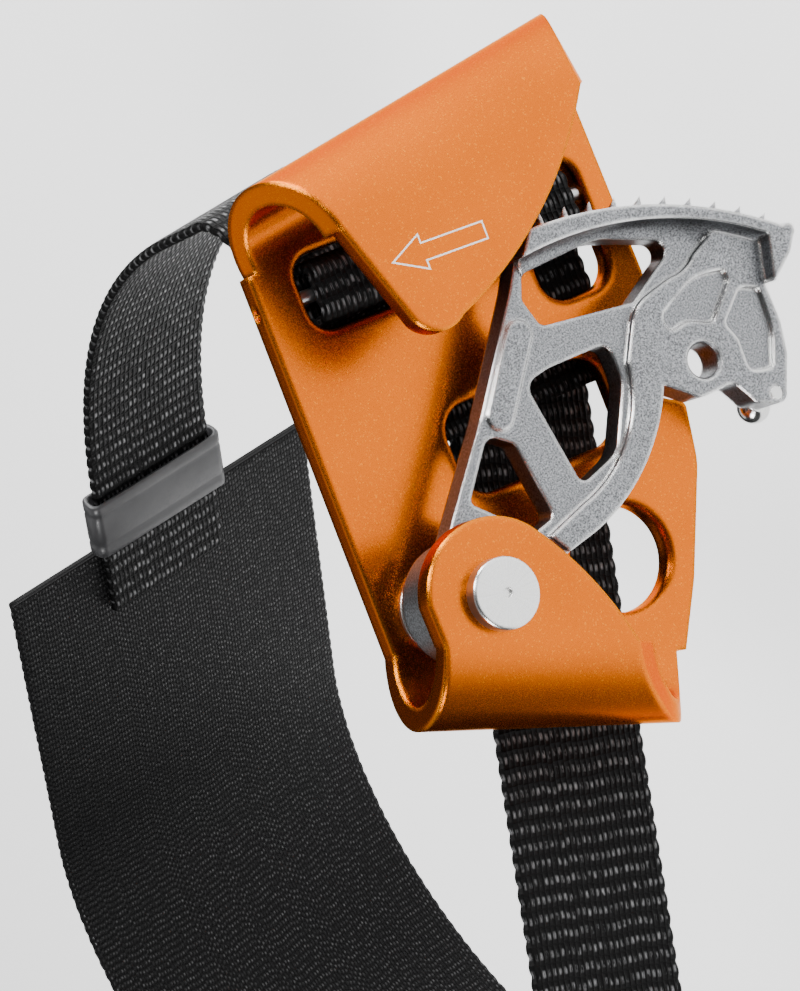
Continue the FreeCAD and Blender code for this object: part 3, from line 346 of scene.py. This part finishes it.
def make_mesh(name, points, faces, material, weave=None):
    """Object from points in millimetres from the axle; weave gives (along, across) per corner."""
    mesh = bpy.data.meshes.new(name)
    mesh.from_pydata([place(p) for p in points], [], faces)
    if weave is not None:
        layer = mesh.uv_layers.new(name="weave")
        for face, corners in zip(mesh.polygons, weave):
            for loop, (along, across) in zip(face.loop_indices, corners):
                layer.data[loop].uv = (along * MM, across * MM)
    mesh.polygons.foreach_set("use_smooth", [True] * len(mesh.polygons))
    mesh.materials.append(material)
    mesh.update()
    piece = bpy.data.objects.new(name, mesh)
    bpy.context.scene.collection.objects.link(piece)
    return piece


def walk(start, heading, moves, step=STEP):
    """Stations (x, y, heading) along straight runs (length,) and arcs (radius, degrees)."""
    x, y = start
    angle = math.radians(heading)
    stations = [(x, y, angle)]
    for move in moves:
        if len(move) == 1:
            count = max(1, round(move[0] / step))
            for _ in range(count):
                x += move[0] / count * math.cos(angle)
                y += move[0] / count * math.sin(angle)
                stations.append((x, y, angle))
            continue
        radius, degrees = move
        hand = math.copysign(1, degrees)
        count = max(6, round(abs(math.radians(degrees)) * radius / step))
        centre_x = x - hand * radius * math.sin(angle)
        centre_y = y + hand * radius * math.cos(angle)
        for _ in range(count):
            angle += math.radians(degrees) / count
            x = centre_x + hand * radius * math.sin(angle)
            y = centre_y - hand * radius * math.cos(angle)
            stations.append((x, y, angle))
    return stations


def lay(stations, middle, turn=0.0):
    """Frames (point, thickness way, width way) of stations in a plane turned about Y."""
    spin = Matrix.Rotation(math.radians(turn), 3, "Y")
    frames = []
    for x, y, angle in stations:
        frames.append((spin @ Vector((x, y, middle)),
                       spin @ Vector((-math.sin(angle), math.cos(angle), 0.0)),
                       spin @ Z_WAY))
    return frames


def section(width, thick, count):
    """Half-round edged strap section: (across, up, 1 on the selvage and 0 elsewhere)."""
    half = thick / 2
    reach = width / 2 - half
    top = [(-reach + 2 * reach * i / count, half, 0.0) for i in range(count + 1)]
    cap = []
    for degrees in (55, 18, -18, -55):
        turn = math.radians(degrees)
        cap.append((reach + half * math.cos(turn), half * math.sin(turn), 1.0))
    points = top + cap
    return points + [(-a, -h, selvage) for a, h, selvage in points]


def strap(name, node, frames, width=WEB_WIDTH, thick=WEB, pitch=WEBBING_PITCH, material=WEBBING,
          rib=0.10, bead=0.30, count=26):
    """Woven strap through the frames, ribbed across, with a beaded selvage."""
    ring = section(width, thick, count)
    size = len(ring)
    points = []
    travel = [0.0]
    for before, after in zip(frames, frames[1:]):
        travel.append(travel[-1] + (after[0] - before[0]).length)
    for s, (centre, up, across) in zip(travel, frames):
        wave = abs(math.sin(math.pi * s / pitch))
        for number, (a, h, selvage) in enumerate(ring):
            side = 1 if a > 0 else -1
            beat = abs(math.sin(math.pi * (s / pitch + (0.5 if side > 0 else 0.0))))
            dip = math.copysign(rib * (1 - wave) * (1 - selvage), h)
            pinch = h * 0.28 * selvage * (1 - beat)
            out = bead * (beat - 1.0) * selvage
            points.append(centre + across * (a + side * out) + up * (h - dip - pinch))
    faces = []
    weave = []
    for i in range(len(frames) - 1):
        for j in range(size):
            k = (j + 1) % size
            faces.append((i * size + j, i * size + k, (i + 1) * size + k, (i + 1) * size + j))
            weave.append(((travel[i], ring[j][0]), (travel[i], ring[k][0]),
                          (travel[i + 1], ring[k][0]), (travel[i + 1], ring[j][0])))
    last = (len(frames) - 1) * size
    ends = ((0, travel[0], range(size - 1, -1, -1)), (last, travel[-1], range(size)))
    for start, where, order in ends:
        faces.append(tuple(start + j for j in order))
        weave.append([(where, ring[j][1]) for j in order])
    piece = make_mesh(name, points, [tuple(reversed(f)) for f in faces], material,
                      [list(reversed(w)) for w in weave])
    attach(piece, "frame")
    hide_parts(node)


def tube(points, radius, sides=6):
    """Vertices and faces of a round thread through the points."""
    verts = []
    faces = []
    for i, here in enumerate(points):
        before = points[max(i - 1, 0)]
        after = points[min(i + 1, len(points) - 1)]
        way = (after - before).normalized()
        first = way.orthogonal().normalized()
        second = way.cross(first)
        for j in range(sides):
            turn = 2 * math.pi * j / sides
            verts.append(here + (first * math.cos(turn) + second * math.sin(turn)) * radius)
    for i in range(len(points) - 1):
        for j in range(sides):
            k = (j + 1) % sides
            faces.append((i * sides + j, i * sides + k, (i + 1) * sides + k, (i + 1) * sides + j))
    faces.append(tuple(range(sides - 1, -1, -1)))
    faces.append(tuple((len(points) - 1) * sides + j for j in range(sides)))
    return verts, faces


def sewn(name, first, along, step, up, across):
    """Four rows of zigzag thread, each a step further along the strap than the one before."""
    stitch = 0.9
    sway = 0.42
    thread_radius = 0.19
    count = int(STITCH_WIDTH / stitch)
    verts = []
    faces = []
    for row in range(4):
        centre = first + along * (step * row)
        points = []
        for i in range(count + 1):
            side = sway if i % 2 else -sway
            points.append(centre + across * (STITCH_WIDTH * (i / count - 0.5)) + along * side
                          - up * 0.05)
            if i < count:
                points.append(centre + across * (STITCH_WIDTH * ((i + 0.5) / count - 0.5))
                              + up * 0.10)
        some_verts, some_faces = tube(points, thread_radius)
        faces += [tuple(len(verts) + v for v in face) for face in some_faces]
        verts += some_verts
    piece = make_mesh(name, verts, faces, THREAD)
    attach(piece, "frame")
    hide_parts(name.replace("_thread", ""))


# ---------------------------------------------------------------- foot loop

def make_tab():
    """Webbing folded around the pin in the strap window; both layers turn down behind the plate."""
    front = 8.0
    fold = 4.6
    pin_bend = 1.9
    first_turn = 1.5
    last_turn = 1.6
    layer = PLATE_BACK + GAP + WEB / 2
    over = layer + WEB + TAB_GAP
    moves = [(22.0,), (first_turn, -90), (layer - first_turn - pin_bend - front,), (pin_bend, 90),
             (fold,), (pin_bend, 90), (over - pin_bend - last_turn - front,), (last_turn, 90), (30.3,)]
    path = walk((22.4, layer), 0, moves)
    strap("tab_web", "anchor_tab", lay(path, -22.8, WINDOW_TURN), width=46.8, count=44)


def make_upper_strap():
    path = walk(UPPER_START, 0, UPPER_BENDS + [(UPPER_TAIL,)])
    strap("upper_web", "upper_strap", lay(path, UPPER_MIDDLE))


def band_start():
    """Where the band begins, on the inside of the upper strap, and its heading."""
    x, y, angle = walk(UPPER_START, 0, UPPER_BENDS + [(UPPER_TAIL - BAND_LAP,)])[-1]
    beside = (WEB + CLOTH) / 2 + LAP_GAP
    return (x + beside * math.sin(angle), y - beside * math.cos(angle)), angle


def band_path():
    start, angle = band_start()
    return walk(start, math.degrees(angle), BAND_MOVES, step=0.8)


def make_band():
    strap("band_web", "arch_band", lay(band_path(), -17.5), width=65.0, thick=CLOTH,
          pitch=2 * BAND_PITCH, material=BAND, rib=0.03, bead=0.22, count=40)


def buckle_bars():
    """Upper and lower edge of each of the buckle's bars."""
    bars = []
    edge = -80.0
    for slot in (11.0, 11.0, 4.5, 0.0):
        bars.append((edge, edge - BAR))
        edge -= BAR + slot
    return bars


def eye_radius():
    """Middle line of the closing strap around the corners of the buckle's end bar."""
    return math.hypot(BAR / 2, BUCKLE_THICK / 2) + GAP + WEB / 2


def slope_run(rise, bend, degrees):
    """Straight part of a slope between two bends, and how far the whole slope reaches."""
    angle = math.radians(degrees)
    ramp = (rise - 2 * bend * (1 - math.cos(angle))) / math.sin(angle)
    return ramp, 2 * bend * math.sin(angle) + ramp * math.cos(angle)


def make_lower_strap():
    """From the tab down behind the plate, woven through the buckle, to its hemmed free end."""
    bend = 2
    slant = 45
    ramp, reach = slope_run(BUCKLE_THICK + 2 * GAP + WEB, bend, slant)
    over_bar = BAR + 0.6
    upper, lower = buckle_bars()[1]
    first = LOWER_START - ((upper + lower) / 2 + over_bar / 2 + reach)
    eye_lift = WEB + GAP - (WEB / 2 + GAP + BUCKLE_THICK / 2 - eye_radius())
    moves = [(first,), (bend, -slant), (ramp,), (bend, slant), (over_bar,), (bend, slant),
             (ramp + eye_lift / math.sin(math.radians(slant)),), (bend, -slant)]
    hem = [(38.0,), (1.3, 180), (14.0,)]
    path = walk((LOWER_START, SEWN), 180, moves + hem)
    strap("lower_web", "lower_strap", lay(path, STRAP_MIDDLE, STRAP_TURN))


def closing_end():
    """Where the closing strap is sewn outside the band's end."""
    x, y, _ = band_path()[-1]
    return x + (WEB + CLOTH) / 2 + LAP_GAP, y


def make_closing_strap():
    """Eye on the buckle's end bar, then a twisting run to the band."""
    eye = eye_radius()
    leg = 22.0
    bend = 2
    slant = 40
    upper, lower = buckle_bars()[-1]
    out = (upper + lower) / 2 - eye
    layer = WEB + LAP_GAP
    ramp, rise = slope_run(2 * eye - layer, bend, slant)
    root = BUCKLE_THICK / 2 + 2.2
    top = SEWN + WEB / 2 + GAP + BUCKLE_THICK / 2 + leg
    moves = [(leg - root - rise,), (bend, slant), (ramp,), (bend, -slant), (root,), (eye, -180), (leg,)]
    frames = lay(walk((out + layer, top), -90, moves), STRAP_MIDDLE, STRAP_TURN)
    begin = frames[-1][0]
    sewn_x, band_y = closing_end()
    lap_y = band_y - LAP_LEAD
    twist_steps = 114
    for i in range(1, twist_steps + 1):
        share = i / twist_steps
        ease = share * share * (3 - 2 * share)
        tilt = Matrix.Rotation(math.radians(STRAP_TURN * (1 - ease)), 3, "Y")
        centre = Vector((begin.x + (sewn_x - begin.x) * share, top + (lap_y - top) * share,
                         begin.z * (1 - share)))
        frames.append((centre, tilt @ -X_WAY, tilt @ Z_WAY))
    for i in range(1, 41):
        frames.append((Vector((sewn_x, lap_y + STEP * i, 0.0)), -X_WAY, Z_WAY))
    strap("closing_web", "closing_strap", frames)


def sew_laps():
    """Four rows of thread on each sewn lap."""
    proud = WEB / 2 + STITCH_LIFT
    sewn("stitches_upper_thread", Vector((UPPER_START[0] + 2, SEWN + proud, UPPER_MIDDLE)),
         X_WAY, 3.2, Y_WAY, Z_WAY)
    slant = Matrix.Rotation(math.radians(STRAP_TURN), 3, "Y")
    sewn("stitches_lower_thread", slant @ Vector((LOWER_START - 2, SEWN + proud, STRAP_MIDDLE)),
         slant @ X_WAY, -3.2, Y_WAY, slant @ Z_WAY)
    (x, y), angle = band_start()
    way = Vector((math.cos(angle), math.sin(angle), 0.0))
    up = Vector((math.sin(angle), -math.cos(angle), 0.0))
    first = Vector((x, y, UPPER_MIDDLE)) + way * 2 + up * (CLOTH / 2 + STITCH_LIFT)
    sewn("stitches_band_thread", first, way, 3.0, up, Z_WAY)
    sewn_x, band_y = closing_end()
    sewn("stitches_closing_thread", Vector((sewn_x + proud, band_y + 3, 0.0)),
         Y_WAY, 3.2, X_WAY, Z_WAY)


make_tab()
make_upper_strap()
make_band()
make_lower_strap()
make_closing_strap()
sew_laps()


# ---------------------------------------------------------------- keeper

def rounded_box(width, high, radius, steps=5):
    points = []
    for corner, (right, up) in enumerate(((1, 1), (-1, 1), (-1, -1), (1, -1))):
        for i in range(steps + 1):
            turn = math.radians(90 * corner + 90 * i / steps)
            points.append((right * (width / 2 - radius) + radius * math.cos(turn),
                           up * (high / 2 - radius) + radius * math.sin(turn)))
    return points


def make_keeper():
    """Soft-edged sleeve around the upper strap, with two shallow ribs."""
    end = 6.0
    x, y, angle = walk(UPPER_START, 0, UPPER_BENDS + [(end + 0.6,)])[-1]
    centre = Vector((x, y, UPPER_MIDDLE))
    way = Vector((math.cos(angle), math.sin(angle), 0.0))
    up = Vector((-math.sin(angle), math.cos(angle), 0.0))
    outer = (WEB_WIDTH + 3.0, WEB + 2.7, 1.7)
    inner = (WEB_WIDTH + 1.0, WEB + 0.7, 0.9)
    half = [(end - 3.2, 0.0), (end - 2.6, 0.25), (end - 2.0, 0.0), (end - 0.35, 0.0)]
    loops = [(-along, outer, inset) for along, inset in reversed(half)]
    loops += [(along, outer, inset) for along, inset in half]
    loops += [(end, outer, 0.4), (end, inner, -0.3), (end - 0.3, inner, 0.0),
              (-end + 0.3, inner, 0.0), (-end, inner, -0.3), (-end, outer, 0.4)]
    verts = []
    for along, (width, high, radius), inset in loops:
        for a, h in rounded_box(width - 2 * inset, high - 2 * inset, max(radius - inset, 0.2)):
            verts.append(centre + way * along + Z_WAY * a + up * h)
    size = len(verts) // len(loops)
    faces = []
    for i in range(len(loops)):
        for j in range(size):
            k = (j + 1) % size
            n = (i + 1) % len(loops)
            faces.append((i * size + j, n * size + j, n * size + k, i * size + k))
    piece = make_mesh("keeper_sleeve", verts, faces, PLASTIC)
    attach(piece, "frame")
    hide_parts("keeper")


make_keeper()


# ---------------------------------------------------------------- printed arrow on the hood's flap

def make_arrow():
    """Outline arrow that points up the rope, printed on the flap."""
    lean = math.radians(10.6)
    tail = Vector((45.65, -27.4))
    way = Vector((math.sin(lean), math.cos(lean)))
    side = Vector((math.cos(lean), -math.sin(lean)))
    line = 0.26
    ink = 0.015
    shaft = 1.45
    barb = 2.85
    neck = 10.6
    shape = [(0, shaft), (neck, shaft), (neck, barb), (16.3, 0), (neck, -barb), (neck, -shaft),
             (0, -shaft)]
    front = -PLATE_BACK - 0.02

    def inset(amount):
        result = []
        count = len(shape)
        for i, (u, v) in enumerate(shape):
            here = Vector((u, v))
            before = (here - Vector(shape[i - 1])).normalized()
            after = (Vector(shape[(i + 1) % count]) - here).normalized()
            normal_a = Vector((before.y, -before.x))
            normal_b = Vector((after.y, -after.x))
            middle = (normal_a + normal_b).normalized()
            result.append(here + middle * (amount / max(middle.dot(normal_a), 0.3)))
        return result

    verts = []
    for loop in (inset(0.0), inset(line)):
        for p in loop:
            spot = tail + way * p.x + side * p.y
            verts.append(Vector((spot.x, front, spot.y)))
    count = len(shape)
    verts += [v + Y_WAY * ink for v in verts]
    faces = []
    for i in range(count):
        k = (i + 1) % count
        faces.append((i, k, count + k, count + i))
        faces.append((2 * count + i, 3 * count + i, 3 * count + k, 2 * count + k))
        faces.append((i, 2 * count + i, 2 * count + k, k))
        faces.append((count + i, count + k, 3 * count + k, 3 * count + i))
    piece = make_mesh("flap_arrow", verts, faces, PRINT)
    piece.data.polygons.foreach_set("use_smooth", [False] * len(piece.data.polygons))
    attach(piece, "frame")


make_arrow()


# ---------------------------------------------------------------- floor, light, camera

RIGHT = Vector((-0.4976, -0.4192, -0.7594))
UP = Vector((0.8605, -0.1282, -0.4931))
BACK = Vector((0.1094, -0.8988, 0.4245))
LOOK_AT = Vector((-0.035, 0.0, 0.0))
EYE = Vector((0.02871, -0.54861, 0.28953))
FOCAL = 4200.0
FRAME_HIGH = 991.0
SENSOR = 24.0


def make_floor():
    """Plain pale floor, a little below the foot loop."""
    s = Shader("floor")
    speck = s.noise(s.here(), 60.0, 3.0)
    colour = s.blend(speck, (0.90, 0.90, 0.90, 1), (0.93, 0.93, 0.93, 1))
    material = s.finish(Base_Color=colour, Roughness=0.9, Specular_IOR_Level=0.0,
                        Emission_Color=(1.0, 1.0, 1.0, 1), Emission_Strength=1.1)
    mesh = bpy.data.meshes.new("floor")
    half = 6.0
    level = cad_low.z - 0.06
    corners = [(-half, -half, level), (half, -half, level), (half, half, level), (-half, half, level)]
    mesh.from_pydata(corners, [], [(0, 1, 2, 3)])
    mesh.materials.append(material)
    floor = bpy.data.objects.new("floor", mesh)
    bpy.context.scene.collection.objects.link(floor)


def soft_light(name, where, size, power):
    data = bpy.data.lights.new(name, "AREA")
    data.shape = "RECTANGLE"
    data.size, data.size_y = size
    data.energy = power
    lamp = bpy.data.objects.new(name, data)
    lamp.location = where
    lamp.rotation_mode = "QUATERNION"
    lamp.rotation_quaternion = (LOOK_AT - where).to_track_quat("-Z", "Y")
    bpy.context.scene.collection.objects.link(lamp)


make_floor()
soft_light("key", LOOK_AT - RIGHT * 0.75 + UP * 0.40 + BACK * 0.50, (0.55, 0.30), 13.0)
soft_light("top", LOOK_AT + UP * 0.80 - RIGHT * 0.50 + BACK * 0.10, (0.8, 0.22), 13.0)
soft_light("low", LOOK_AT - UP * 0.85 - RIGHT * 0.10 + BACK * 0.40, (0.5, 0.30), 9.0)
soft_light("front", LOOK_AT + BACK * 1.3 + UP * 0.55 - RIGHT * 0.25, (0.30, 0.30), 3.0)
soft_light("floor_wash", Vector((-0.1, 0.9, 1.4)), (1.6, 1.6), 8.0)

def make_world():
    world = bpy.data.worlds.new("studio")
    world.use_nodes = True
    background = world.node_tree.nodes["Background"].inputs
    background[0].default_value = (1.0, 1.0, 1.0, 1.0)
    background[1].default_value = 0.06
    bpy.context.scene.world = world


def make_camera():
    lens = bpy.data.cameras.new("camera")
    lens.sensor_fit = "VERTICAL"
    lens.sensor_height = SENSOR
    lens.lens = SENSOR * FOCAL / FRAME_HIGH
    lens.clip_start = 0.05
    lens.clip_end = 50.0
    camera = bpy.data.objects.new("camera", lens)
    turned = Matrix((RIGHT, UP, BACK)).transposed().to_4x4()
    camera.matrix_world = Matrix.Translation(EYE) @ turned
    bpy.context.scene.collection.objects.link(camera)
    bpy.context.scene.camera = camera


make_world()
make_camera()
